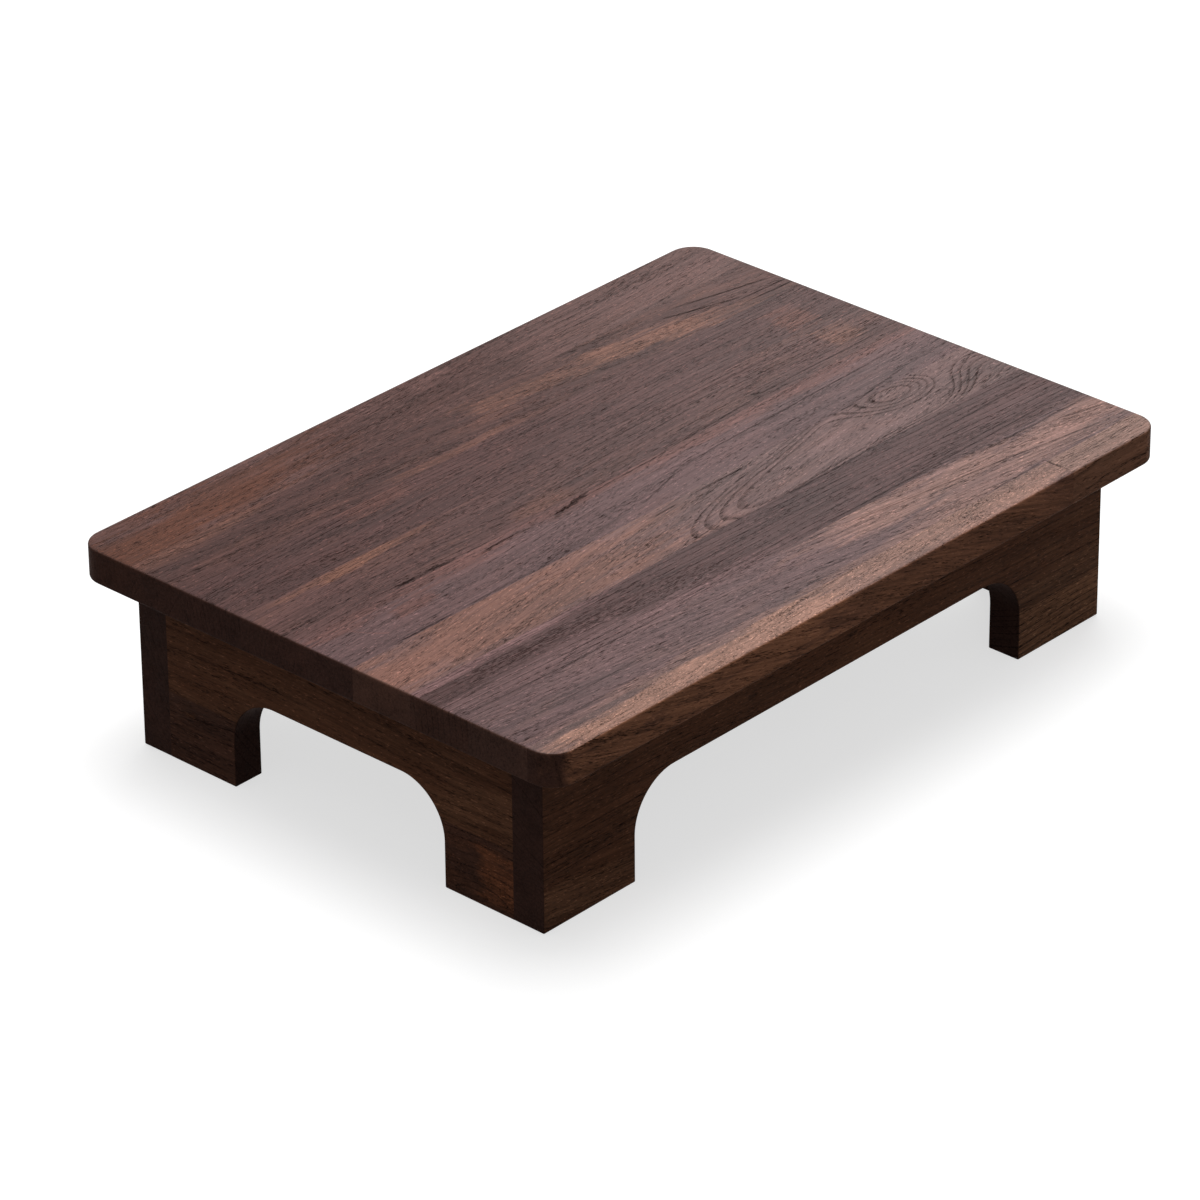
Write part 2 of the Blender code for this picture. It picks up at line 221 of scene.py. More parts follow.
def stained_timber_group():
    """Stained, brushed, open-pored wood: colour, gloss and relief from rings, fibres, pores and marks."""
    floats = ("Late Wood", "Band", "Warm Mask", "Vein Mask", "Crowd Mask", "Pale Mask", "Broad Face",
              "End Grain", "Edge Wear And Highlight", "Lines", "Pores", "Flecks And Glints", "Seed")
    inputs = {"Position": "Vector", "Run": "Vector", **{name: "Float" for name in floats}}
    inputs.update({name: "Color" for name in ("Body", "Late", "Warm", "Sawn Stain And Shade", "End Stain")})
    outputs = {"Color": "Color", "Roughness": "Float", "Wax": "Float", "Height": "Float"}
    tree, given, made = start_tree("stained_timber", "ShaderNodeTree", inputs, outputs)
    x, y, z = split(tree, given["Position"])
    along, across, below = split(tree, given["Run"])
    seed = given["Seed"]
    late = given["Late Wood"] * given["Lines"]

    # Fibres, patches, vessels, and the fleck and glint pattern, all drawn out along the grain
    fibre = clouds(tree, along * 14.0 + seed, across * 700.0, below * 700.0, 4.0, 0.7)
    patch = clouds(tree, x * 10.0 + seed, y * 45.0, z * 45.0, 3.0)
    mottle = clouds(tree, x * 20.0, y * 100.0 + seed, z * 100.0, 3.0)
    vessels = clouds(tree, along * 190.0, across * 2400.0, below * 2400.0 + seed, 2.0, 0.6)
    flecks = clouds(tree, along * 300.0, across * 1100.0 + seed, below * 1100.0, 1.0)
    rows = clouds(tree, along * 14.0, across * 150.0, below * 150.0 + seed)

    # Open pores, alone or crowded, late-wood lines, veins, and pale specks: partly wood fleck, partly
    # painted glint
    crowded = (1.0 - smooth(flecks, 0.36, 0.50)) * given["Crowd Mask"]
    sparse = smooth(vessels + late * 0.12 + (rows - 0.5) * 0.3, 0.57, 0.70) * given["Pores"]
    pores = sparse.math("MAXIMUM", crowded)
    line = late * (0.5 + smooth(vessels, 0.42, 0.58) * 0.5)
    vein = given["Vein Mask"] * (0.45 + smooth(vessels, 0.44, 0.58) * 0.55)
    pale = smooth(flecks, 0.62, 0.74) * given["Flecks And Glints"] * (0.4 + given["Broad Face"] * 0.6)

    # The colour in layers, from the stained ground up to the arrises, where wear and a painted highlight
    # lighten it
    warmth = given["Warm Mask"] * (fibre * 0.9 + 0.55) + (mottle - 0.5) * 1.0
    # Pale specks lighten the tone: partly light wood fleck, partly painted glints of light
    tone = 1.0 + (fibre - 0.5) * 1.8 + (given["Band"] - 0.5) * 0.6 + (patch - 0.5) * 0.9 + pale * 1.1
    ground = brightened(tree, blended(tree, warmth, given["Body"], given["Warm"]), tone)
    marked = blended(tree, given["Pale Mask"], ground, brightened(tree, given["Warm"], tone * 1.6))
    lined = blended(tree, line, marked, given["Late"])
    veined = blended(tree, vein, lined, brightened(tree, given["Late"], 0.6))
    pored = blended(tree, pores, veined, brightened(tree, given["Late"], 0.8))
    # Eased arrises turn lighter and warmer: partly wear, partly a painted highlight on the rounded edge
    rubbed_and_lit = blended(tree, given["Edge Wear And Highlight"] * smooth(fibre, 0.4, 0.65) * 0.2, pored, given["Warm"])
    # Faces off the broad face are darker: stain soaked into the cut, and on the aprons also painted shade
    # in the arch
    soaked = put(tree, "ShaderNodeVectorMath", {0: rubbed_and_lit, 1: given["Sawn Stain And Shade"]}, operation="MULTIPLY")
    edged = blended(tree, given["Broad Face"], soaked.outputs[0], rubbed_and_lit)

    # End grain takes its own stain, and open grain holds no wax
    end_tone = 1.06 + (fibre - 0.5) * 1.6 + (patch - 0.5) * 0.9 - late * 0.25 - sparse * 0.35
    end_face = brightened(tree, given["End Stain"], end_tone)
    shown = blended(tree, given["End Grain"] * 0.85, edged, end_face)
    open_grain = pores.math("MAXIMUM", vein).math("MAXIMUM", line)
    wax = given["Broad Face"] * (1.0 - open_grain) * (0.5 + fibre)
    rough = 0.5 + late * 0.1 + pores * 0.2 + (patch - 0.5) * 0.25 - pale * 0.1
    height = fibre * 0.5 - line * 0.5 - pores * 0.9 + pale * 0.4 - vein * 1.6
    tree.links.new(shown, made["Color"])
    tree.links.new(rough.socket, made["Roughness"])
    tree.links.new(wax.socket, made["Wax"])
    tree.links.new(height.socket, made["Height"])
    return tree


growth_rings = growth_rings_group()
grain_streak = streak_group()
stained_timber = stained_timber_group()


def streak(x, y, half_length, half_width, slope=0.0, bend=0.0, ragged=0.5, strength=1.0):
    """One mark on a board: its middle, its half sizes, how it slants and curves, and how strong it is."""
    sizes = {"Middle X": x, "Middle Y": y, "Half Length": half_length, "Half Width": half_width,
             "Slope": slope, "Bend": bend, "Ragged": ragged}
    return sizes, strength


def streak_mask(tree, spot, streaks):
    """One mask of several marks, or nothing if there is none; they all fray as the board's grain does."""
    total = None
    for sizes, strength in streaks:
        mark = put(tree, "ShaderNodeGroup", {**spot, **sizes}, node_tree=grain_streak)
        mask = Field(tree, mark.outputs["Mask"]) * strength
        total = mask if total is None else total.math("MAXIMUM", mask)
    return 0.0 if total is None else total


def knot_swell(tree, spot, knots):
    """How far the rings bulge round old branches, each given by its middle, half sizes and height."""
    total = None
    for x, y, half_length, half_width, height in knots:
        along = (spot["X"] - x) / half_length
        aside = (spot["Y"] - y) / half_width
        bulge = (1.0 - smooth((along * along + aside * aside).math("SQRT"), 0.0, 1.0)) * height
        total = bulge if total is None else total.math("MAXIMUM", bulge)
    return 0.0 if total is None else total


def timber_finish(name, seed, body, warm, pith, axes, drift=0.0, rise=0.0, ring_width=0.004,
                  first_ring=0.0, ring_count=1000.0, late_share=0.28, fine_lines=0.0, waver=0.003, even=0.3,
                  knots=(), lines=0.8, pores=0.9, flecks=1.0, wax=0.02, sawn_stain_and_shade=SAWN_STAIN_AND_SHADE,
                  end_stain=END_STAIN, warm_streaks=(), veins=(), crowds=(), pale_marks=()):
    """A stained board's material. The rows of axes are the board's length, width and depth directions."""
    material = bpy.data.materials.new(name)
    material.use_nodes = True
    tree = material.node_tree
    shader = tree.nodes["Principled BSDF"]
    shader.inputs["Specular IOR Level"].default_value = DULL_GLOSS
    shader.inputs["Coat Roughness"].default_value = WAX_ROUGHNESS
    spots = put(tree, "ShaderNodeTexCoord").outputs
    turn = axes.to_euler()
    place = put(tree, "ShaderNodeMapping", {"Vector": spots["Object"], "Rotation": turn}).outputs[0]
    facing = put(tree, "ShaderNodeMapping", {"Vector": spots["Normal"], "Rotation": turn},
                 vector_type="VECTOR").outputs[0]
    endways, _, outward = [part.math("ABSOLUTE") for part in split(tree, facing)]
    broad_face = smooth(outward, 0.4, 0.9)
    end_grain = smooth(endways, 0.15, 0.6)
    # The eased arrises, marked for wear and a painted highlight
    wear_and_highlight = put(tree, "ShaderNodeAttribute", attribute_name="edge_wear_and_highlight").outputs["Fac"]
    x, y, z = split(tree, place)
    fray = clouds(tree, x * 26.0, y * 300.0, z * 300.0 + seed, 4.0, 0.65) - 0.5
    stray = clouds(tree, x * 11.0, y * 30.0 + seed, z * 30.0) - 0.5
    spot = {"X": x, "Y": y, "Fray": fray, "Stray": stray}
    log = put(tree, "ShaderNodeGroup", {
        "Position": place, "Pith Y": pith[0], "Pith Z": pith[1], "Pith Drift": drift, "Pith Rise": rise,
        "Ring Width": ring_width, "First Ring": first_ring, "Ring Count": ring_count,
        "Late Share": late_share, "Fine Lines": fine_lines, "Waver": waver, "Evenness": even,
        "Swell": knot_swell(tree, spot, knots), "Seed": seed}, node_tree=growth_rings)
    wood = put(tree, "ShaderNodeGroup", {
        "Position": place, **{socket.name: socket for socket in log.outputs}, "Seed": seed,
        "Warm Mask": streak_mask(tree, spot, warm_streaks), "Vein Mask": streak_mask(tree, spot, veins),
        "Crowd Mask": streak_mask(tree, spot, crowds), "Pale Mask": streak_mask(tree, spot, pale_marks),
        "Broad Face": broad_face, "End Grain": end_grain, "Edge Wear And Highlight": wear_and_highlight, "Lines": lines, "Pores": pores,
        "Flecks And Glints": flecks, "Body": (*body, 1.0), "Late": (*DARK_LATE, 1.0), "Warm": (*warm, 1.0),
        "Sawn Stain And Shade": (*sawn_stain_and_shade, 1.0), "End Stain": (*end_stain, 1.0)}, node_tree=stained_timber)
    tree.links.new(wood.outputs["Color"], shader.inputs["Base Color"])
    tree.links.new(wood.outputs["Roughness"], shader.inputs["Roughness"])
    waxed = Field(tree, wood.outputs["Wax"]) * wax
    tree.links.new(waxed.socket, shader.inputs["Coat Weight"])
    relief = put(tree, "ShaderNodeBump", {"Height": wood.outputs["Height"], "Distance": GRAIN_DEPTH})
    tree.links.new(relief.outputs[0], shader.inputs["Normal"])
    return material


def arc_points(centre_u, centre_z, radius, start, end):
    """Points on an arc with both its ends; angles in radians, anticlockwise from the length direction."""
    turns = [start + (end - start) * step / ARCH_STEPS for step in range(ARCH_STEPS + 1)]
    return [(centre_u + radius * math.cos(turn), centre_z + radius * math.sin(turn)) for turn in turns]


def apron_outlines(half_run, half_arch, seam):
    """The outlines of an apron's rail and of its foot on the plus side, as (length, height) points."""
    spring = ARCH_HEIGHT - ARCH_RADIUS
    shoulder = half_arch - ARCH_RADIUS
    at_seam = math.asin((seam - spring) / ARCH_RADIUS)
    quarter = math.pi / 2
    rail = [(-half_run, seam)]
    rail += arc_points(-shoulder, spring, ARCH_RADIUS, math.pi - at_seam, quarter)
    rail += arc_points(shoulder, spring, ARCH_RADIUS, quarter, at_seam)
    rail += [(half_run, seam), (half_run, apron_top), (-half_run, apron_top)]
    foot = [(half_arch, 0.0), (half_run, 0.0), (half_run, seam)]
    foot += arc_points(shoulder, spring, ARCH_RADIUS, at_seam, 0.0)
    return rail, foot


def mirrored(outline):
    return [(-along, height) for along, height in outline]


def joint_between(one, other, axis):
    """The middle of the glue line between two neighbours, the first one further along the axis."""
    return (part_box(one)[0][axis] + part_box(other)[1][axis]) / 2


def all_at(points, axis, level):
    return all(abs(abs(point[axis]) - level) < TOLERANCE for point in points)


def long_glued(points):
    """Glued and flush: under the top, along the seam, and where a short apron butts against this one."""
    at_butt = all_at(points, 0, frame_end) and all_at(points, 1, inner_side)
    return all_at(points, 2, apron_top) or all_at(points, 2, long_seam) or at_butt


def end_glued(points):
    return all_at(points, 2, apron_top) or all_at(points, 2, end_seam) or all_at(points, 1, inner_side)


def keep_as(piece, slot, *nodes):
    """Lets a finished piece stand for these nodes: it hides them and hangs the piece on the one rigid body.
    """
    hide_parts(*nodes)
    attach(piece, "root")


def plain_piece(maker, name):
    """Applies an object's modifiers and keeps the result as a plain mesh object of this name."""
    bpy.context.scene.collection.objects.link(maker)
    mesh = bpy.data.meshes.new_from_object(maker.evaluated_get(bpy.context.evaluated_depsgraph_get()))
    mesh.name = name
    bpy.data.objects.remove(maker, do_unlink=True)
    piece = bpy.data.objects.new(name, mesh)
    bpy.context.scene.collection.objects.link(piece)
    return piece


def sawn_board(node, outline, inner, outer, axes, glued, finish):
    """A board sawn to an outline of (length, height) points. Its free arrises are eased, glued ones not."""
    shape = bmesh.new()
    wear_and_highlight = shape.loops.layers.float.new("edge_wear_and_highlight")
    sides = []
    for depth in (inner, outer):
        if axes is LONG_AXES:
            spots = [(along, depth, height) for along, height in outline]
        else:
            spots = [(depth, along, height) for along, height in outline]
        sides.append([shape.verts.new(spot) for spot in spots])
        shape.faces.new(sides[-1])
    for one, other in zip(range(len(outline)), [*range(1, len(outline)), 0]):
        shape.faces.new((sides[0][one], sides[0][other], sides[1][other], sides[1][one]))
    bmesh.ops.recalc_face_normals(shape, faces=shape.faces)
    arrises = []
    for edge in shape.edges:
        if edge.calc_face_angle() > SHARP_FOLD and not glued([vert.co for vert in edge.verts]):
            arrises.append(edge)
    eased = bmesh.ops.bevel(shape, geom=arrises, offset=APRON_EASE, segments=EASE_STEPS, profile=0.5,
                            affect="EDGES", clamp_overlap=True)
    # The eased faces are marked for wear and a painted highlight
    for face in eased["faces"]:
        for corner in face.loops:
            corner[wear_and_highlight] = 1.0
    mesh = bpy.data.meshes.new(node + "_blank")
    shape.to_mesh(mesh)
    shape.free()
    mesh.shade_smooth()
    mesh.set_sharp_from_angle(angle=SHARP_FOLD)
    mesh.materials.append(finish)
    blank = bpy.data.objects.new(node + "_blank", mesh)
    flat = blank.modifiers.new("flat_faces", "WEIGHTED_NORMAL")
    flat.keep_sharp = True
    keep_as(plain_piece(blank, node + "_sawn"), "apron_wood", node)


apron_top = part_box("front_apron_rail")[1].z
frame_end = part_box("front_apron_rail")[1].x
frame_side = -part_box("front_apron_rail")[0].y
inner_side = -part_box("front_apron_rail")[1].y
inner_end = -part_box("left_apron_rail")[1].x
long_seam = joint_between("front_apron_rail", "front_apron_left_foot", 2)
end_seam = joint_between("left_apron_rail", "left_apron_front_foot", 2)
long_rail, long_foot = apron_outlines(frame_end, frame_end - FOOT_WIDTH, long_seam)
end_rail, end_foot = apron_outlines(inner_side, frame_side - FOOT_WIDTH, end_seam)

UMBER = (0.112, 0.046, 0.0245)
RUSSET = (0.222, 0.106, 0.058)
BISTRE = (0.085, 0.037, 0.024)
RUST = (0.270, 0.095, 0.043)
for side_name, side, seed in (("front", -1, 11.0), ("back", 1, 21.0)):
    rail_finish = timber_finish(
        f"{side_name}_rail", seed, UMBER, RUSSET, (0.16, 0.20), LONG_AXES, drift=-0.05,
        warm_streaks=[streak(0.205, 0.055, 0.060, 0.030, ragged=0.8, strength=0.2),
                      streak(0.195, 0.037, 0.080, 0.018, ragged=0.8, strength=0.6)],
        veins=[streak(-0.215, 0.060, 0.070, 0.032, ragged=0.8, strength=0.25),
               streak(-0.066, 0.0728, 0.005, 0.0022, strength=0.6),
               streak(0.0152, 0.0765, 0.005, 0.0020, strength=0.6)])
    left_finish = timber_finish(
        f"{side_name}_left_foot", seed + 1, UMBER, RUSSET, (0.20, 0.16), LONG_AXES, drift=-0.12,
        warm_streaks=[streak(-0.190, 0.012, 0.060, 0.020, slope=-0.12, ragged=0.8, strength=0.5)])
    right_finish = timber_finish(
        f"{side_name}_right_foot", seed + 2, RUSSET, RUSSET, (0.30, 0.05), LONG_AXES, drift=0.01, even=0.6,
        lines=1.0)
    for board, outline, finish in (("rail", long_rail, rail_finish),
                                   ("left_foot", mirrored(long_foot), left_finish),
                                   ("right_foot", long_foot, right_finish)):
        sawn_board(f"{side_name}_apron_{board}", outline, side * inner_side, side * frame_side,
                   LONG_AXES, long_glued, finish)
for end_name, end, seed in (("left", -1, 31.0), ("right", 1, 41.0)):
    rail_finish = timber_finish(
        f"{end_name}_rail", seed, UMBER, RUSSET, (0.16, 0.0), END_AXES, drift=0.01,
        warm_streaks=[streak(-0.110, 0.060, 0.050, 0.030, ragged=0.8, strength=0.4)])
    front_finish = timber_finish(
        f"{end_name}_front_foot", seed + 1, BISTRE, RUST, (0.004, end * 0.201), END_AXES, rise=-end * 0.3,
        even=0.6, warm_streaks=[streak(-0.122, 0.022, 0.024, 0.028, ragged=0.8, strength=0.7)])
    back_finish = timber_finish(
        f"{end_name}_back_foot", seed + 2, BISTRE, UMBER, (0.20, 0.0), END_AXES, drift=0.02,
        veins=[streak(0.097, 0.0310, 0.024, 0.0080, ragged=0.6, strength=0.5)],
        pale_marks=[streak(0.1115, 0.0318, 0.005, 0.0016, ragged=0.1)])
    for board, outline, finish in (("rail", end_rail, rail_finish),
                                   ("front_foot", mirrored(end_foot), front_finish),
                                   ("back_foot", end_foot, back_finish)):
        sawn_board(f"{end_name}_apron_{board}", outline, end * inner_end, end * frame_end,
                   END_AXES, end_glued, finish)


# Dowels
# Raw hardwood pins, fluted along their length so that glue can escape, and chamfered to enter their holes.
# Two at each corner hold the end of a short apron to the inner face of a long one. None shows outside.
PIN_RADIUS = 0.004
PIN_CHAMFER = 0.0008
FLUTE_DEPTH = 0.00035
FLUTES = 14
PIN_SIDES = 112
RAW_WOOD = (0.42, 0.28, 0.16)
PALE_WOOD = (0.50, 0.35, 0.21)
PIN_AXES = Matrix(((0, 1, 0), (-1, 0, 0), (0, 0, 1)))
CORNERS = [f"{side_name}_{end_name}" for side_name in ("front", "back") for end_name in ("left", "right")]


def finish_tree(tree, geometry, finish, result):
    """Ends a tree: copies made real, round faces smooth, folds sharp, and the finish on all of it."""
    real = put(tree, "GeometryNodeRealizeInstances", {"Geometry": geometry})
    rounded = put(tree, "GeometryNodeSetShadeSmooth", {"Geometry": real.outputs[0], "Shade Smooth": True})
    fold = Field(tree, put(tree, "GeometryNodeInputMeshEdgeAngle").outputs["Unsigned Angle"])
    sharp = put(tree, "GeometryNodeSetShadeSmooth", {
        "Geometry": rounded.outputs[0], "Selection": fold.math("GREATER_THAN", SHARP_FOLD),
        "Shade Smooth": False}, domain="EDGE")
    finished = put(tree, "GeometryNodeSetMaterial", {"Geometry": sharp.outputs[0], "Material": finish})
    tree.links.new(finished.outputs[0], result)


def fluted_dowel_tree():
    """One pin, turned to lie across the table and copied to every given point."""
    sizes = ("Radius", "Length", "Chamfer", "Flute Depth")
    inputs = {"Places": "Geometry", **{name: "Float" for name in sizes}}
    inputs.update({"Flutes": "Int", "Finish": "Material"})
    tree, given, made = start_tree("fluted_dowel", "GeometryNodeTree", inputs, {"Mesh": "Geometry"})
    tree.is_modifier = True
    blank = put(tree, "GeometryNodeMeshCylinder", {
        "Vertices": PIN_SIDES, "Side Segments": 3, "Radius": 1.0, "Depth": 2.0}, fill_type="TRIANGLE_FAN")
    x, y, z = split(tree, put(tree, "GeometryNodeInputPosition").outputs[0])
    at_end = z.math("ABSOLUTE").math("GREATER_THAN", 0.9)
    wave = (y.math("ARCTAN2", x) * given["Flutes"]).math("COSINE") * 0.5 + 0.5
    radius = given["Radius"] - given["Chamfer"] * at_end - given["Flute Depth"] * wave * (1.0 - at_end)
    height = z.math("SIGN") * (given["Length"] * 0.5 - given["Chamfer"] * (1.0 - at_end))
    pin = put(tree, "GeometryNodeSetPosition", {
        "Geometry": blank.outputs["Mesh"], "Position": joined(tree, x * radius, y * radius, height)})
    crossed = put(tree, "GeometryNodeInstanceOnPoints", {
        "Points": given["Places"], "Instance": pin.outputs[0], "Rotation": (math.pi / 2, 0.0, 0.0)})
    finish_tree(tree, crossed.outputs[0], given["Finish"], made["Mesh"])
    return tree


def plain_mesh_from(tree, name, values, start_mesh):
    """Runs a geometry tree with these values and keeps its result as a plain mesh object."""
    maker = bpy.data.objects.new(name + "_maker", start_mesh)
    modifier = maker.modifiers.new("shape", "NODES")
    modifier.node_group = tree
    for socket in tree.interface.items_tree:
        if socket.in_out == "INPUT" and socket.name in values:
            modifier[socket.identifier] = values[socket.name]
    return plain_piece(maker, name)


def marked_places(name, spots, drives=()):
    """Loose points for a tree to put pieces on and, for screws, the way each is driven in."""
    mesh = bpy.data.meshes.new(name)
    mesh.from_pydata(spots, [], [])
    if drives:
        way = mesh.attributes.new("drive", "FLOAT_VECTOR", "POINT")
        for item, drive in zip(way.data, drives):
            item.vector = drive
    return mesh


def middle_of(node):
    low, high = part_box(node)
    return (low + high) / 2


dowel_nodes = [f"{corner}_dowel_{level}" for corner in CORNERS for level in ("low", "high")]
dowel_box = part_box(dowel_nodes[0])
dowel_finish = timber_finish("raw_hardwood", 51.0, RAW_WOOD, PALE_WOOD, (0.10, 0.05), PIN_AXES,
                             ring_width=0.0015, lines=0.25, pores=0.2, end_stain=RAW_WOOD)
dowels = plain_mesh_from(fluted_dowel_tree(), "fluted_dowels", {
    "Radius": PIN_RADIUS, "Length": dowel_box[1].y - dowel_box[0].y, "Chamfer": PIN_CHAMFER,
    "Flute Depth": FLUTE_DEPTH, "Flutes": FLUTES, "Finish": dowel_finish},
    marked_places("dowel_places", [middle_of(node) for node in dowel_nodes]))
keep_as(dowels, "dowel_wood", *dowel_nodes)


# Corner blocks
# Square offcuts glued and screwed into the four inner corners, bored and countersunk for three screws each.
# Their sawn shape is right in the frame as it is, so they only get their thin, uneven coat of stain.
BLOCK_BROWN = (0.130, 0.064, 0.036)
BLOCK_WARM = (0.170, 0.085, 0.045)
block_finish = timber_finish("thin_stain", 61.0, BLOCK_BROWN, BLOCK_WARM, (0.06, 0.02), Matrix.Identity(3),
                             ring_width=0.004, even=0.4)
for corner in CORNERS:
    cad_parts[f"{corner}_corner_block"].material_slots[0].material = block_finish


# Screws
# Zinc-plated countersunk wood screws with a cross recess. From each block one goes into the long apron, one
# into the short apron, and a longer one up into the top, so that no fastener shows from outside.
HEAD_RADIUS = 0.004
HEAD_HEIGHT = 0.0024
HEAD_RIM = 0.0003
SHANK_RADIUS = 0.002
THREAD_DEPTH = 0.0006
THREAD_PITCH = 0.0018
NECK_LENGTH = 0.012
POINT_LENGTH = 0.004
BLUNT_POINT = 0.06
RECESS_SPAN = 0.0046
RECESS_WIDTH = 0.0010
RECESS_DEPTH = 0.0016
SCREW_SIDES = 28
SCREW_STEPS = 200
ZINC = (0.56, 0.57, 0.58)
DULL_ZINC = (0.36, 0.36, 0.35)
ZINC_MARK_DEPTH = 0.00003


def wood_screw_tree():
    """One screw, its head at the given point and its point driven the given way, copied to every point."""
    sizes = ("Length", "Head Radius", "Head Height", "Head Rim", "Shank Radius", "Thread Depth",
             "Thread Pitch", "Neck Length", "Point Length", "Recess Span", "Recess Width", "Recess Depth")
    inputs = {"Places": "Geometry", **{name: "Float" for name in sizes}, "Finish": "Material"}
    tree, given, made = start_tree("wood_screw", "GeometryNodeTree", inputs, {"Mesh": "Geometry"})
    tree.is_modifier = True
    blank = put(tree, "GeometryNodeMeshCylinder", {
        "Vertices": SCREW_SIDES, "Side Segments": SCREW_STEPS, "Radius": 1.0, "Depth": 1.0},
        fill_type="TRIANGLE_FAN")
    x, y, z = split(tree, put(tree, "GeometryNodeInputPosition").outputs[0])

    # Shank, thread and point, then the cone of the head over them
    deep = (z + 0.5) * given["Length"]
    turn = y.math("ARCTAN2", x) / (2 * math.pi)
    neck = given["Neck Length"]
    pitch = given["Thread Pitch"]
    threaded = smooth(deep, neck, neck + pitch) * given["Thread Depth"]
    across_crest = (deep / pitch - turn).math("FRACT") - 0.5
    crest = 1.0 - smooth(across_crest.math("ABSOLUTE"), 0.0, 0.32)
    shank = given["Shank Radius"] - threaded + threaded * crest
    from_tip = (given["Length"] - deep) / given["Point Length"]
    tapered = from_tip.math("MINIMUM", 1.0).math("MAXIMUM", BLUNT_POINT)
    under_rim = (deep - given["Head Rim"]).math("MAXIMUM", 0.0)
    slant = (given["Head Radius"] - given["Shank Radius"]) / (given["Head Height"] - given["Head Rim"])
    radius = (shank * tapered).math("MAXIMUM", given["Head Radius"] - under_rim * slant)
    turned = put(tree, "GeometryNodeSetPosition", {
        "Geometry": blank.outputs["Mesh"], "Position": joined(tree, x * radius, y * radius, deep)})

    # Two crossed wings, narrower as they go down, cut the recess
    narrowed = 1.0 - (z / given["Recess Depth"]).math("MAXIMUM", 0.0) * 0.5
    cut = put(tree, "GeometryNodeMeshBoolean", {"Mesh 1": turned.outputs[0]},
              operation="DIFFERENCE", solver="EXACT")
    for span, width in (("Recess Span", "Recess Width"), ("Recess Width", "Recess Span")):
        wing_size = joined(tree, given[span], given[width], given["Recess Depth"] * 2.0)
        wing = put(tree, "GeometryNodeMeshCube", {"Size": wing_size})
        cutter = put(tree, "GeometryNodeSetPosition", {
            "Geometry": wing.outputs["Mesh"], "Position": joined(tree, x * narrowed, y * narrowed, z)})
        tree.links.new(cutter.outputs[0], cut.inputs["Mesh 2"])
    way = put(tree, "GeometryNodeInputNamedAttribute", {"Name": "drive"}, data_type="FLOAT_VECTOR")
    aimed = put(tree, "FunctionNodeAlignRotationToVector", {"Vector": way.outputs["Attribute"]}, axis="Z")
    driven = put(tree, "GeometryNodeInstanceOnPoints", {
        "Points": given["Places"], "Instance": cut.outputs["Mesh"], "Rotation": aimed.outputs[0]})
    finish_tree(tree, driven.outputs[0], given["Finish"], made["Mesh"])
    return tree


def zinc_finish():
    """Plated steel: bright, with a blotchy bloom and fine marks from the driver."""
    material = bpy.data.materials.new("zinc_plate")
    material.use_nodes = True
    tree = material.node_tree
    shader = tree.nodes["Principled BSDF"]
    shader.inputs["Metallic"].default_value = 1.0
    x, y, z = split(tree, put(tree, "ShaderNodeTexCoord").outputs["Object"])
    bloom = clouds(tree, x * 700.0, y * 700.0, z * 700.0, 4.0, 0.6)
    marks = clouds(tree, x * 6000.0, y * 6000.0, z * 900.0, 3.0)
    colour = blended(tree, smooth(bloom, 0.42, 0.68), (*ZINC, 1.0), (*DULL_ZINC, 1.0))
    tree.links.new(colour, shader.inputs["Base Color"])
    rough = 0.22 + bloom * 0.3 + marks * 0.1
    tree.links.new(rough.socket, shader.inputs["Roughness"])
    relief = put(tree, "ShaderNodeBump", {"Height": marks, "Distance": ZINC_MARK_DEPTH})
    tree.links.new(relief.outputs[0], shader.inputs["Normal"])
    return material


def drive_in(name, nodes, axis_of):
    """Puts one kind of screw where its nodes are: heads inside or below, points outwards or up."""
    spots, drives = [], []
    for node in nodes:
        axis = axis_of(node)
        middle = middle_of(node)
        outward = 1.0 if middle[axis] > 0 else -1.0
        spot = middle.copy()
        spot[axis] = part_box(node)[0 if outward > 0 else 1][axis]
        spots.append(spot)
        drives.append(Vector([outward if number == axis else 0.0 for number in range(3)]))
    low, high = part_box(nodes[0])
    screws = plain_mesh_from(wood_screw, name, {
        "Length": max(high - low), "Head Radius": HEAD_RADIUS, "Head Height": HEAD_HEIGHT,
        "Head Rim": HEAD_RIM, "Shank Radius": SHANK_RADIUS, "Thread Depth": THREAD_DEPTH,
        "Thread Pitch": THREAD_PITCH, "Neck Length": NECK_LENGTH, "Point Length": POINT_LENGTH,
        "Recess Span": RECESS_SPAN, "Recess Width": RECESS_WIDTH, "Recess Depth": RECESS_DEPTH,
        "Finish": screw_finish},
        marked_places(name + "_places", spots, drives))
    keep_as(screws, "screw_steel", *nodes)


wood_screw = wood_screw_tree()
screw_finish = zinc_finish()
apron_screw_nodes = [f"{corner}_{run}_apron_screw" for corner in CORNERS for run in ("end", "long")]
drive_in("apron_screws", apron_screw_nodes, lambda node: 0 if "_end_" in node else 1)
drive_in("top_screws", [f"{corner}_top_screw" for corner in CORNERS], lambda node: 2)


# Staves of the top
# Ten planed lengths of one stained hardwood, glued edge to edge into a panel 20.5 mm thick. The panel is
# cut to length as one board, its corners are sawn round, and its outer edges are eased before the stain.
CORNER_RADIUS = 0.016
EDGE_EASE = 0.0012
STAVE_COUNT = 8
GRID_ALONG = 120
GRID_ACROSS = 22
GRID_DEEP = 14
STAVE_WAX = 0.30
EDGE_TINT = (1.03, 0.90, 0.71)
PALE_END = (0.089, 0.046, 0.035)
MID_END = (0.071, 0.035, 0.026)
TOP_AXES = Matrix.Identity(3)
table_end, table_side, top_face = cad_box[1]
top_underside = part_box("top_stave_1")[0].z


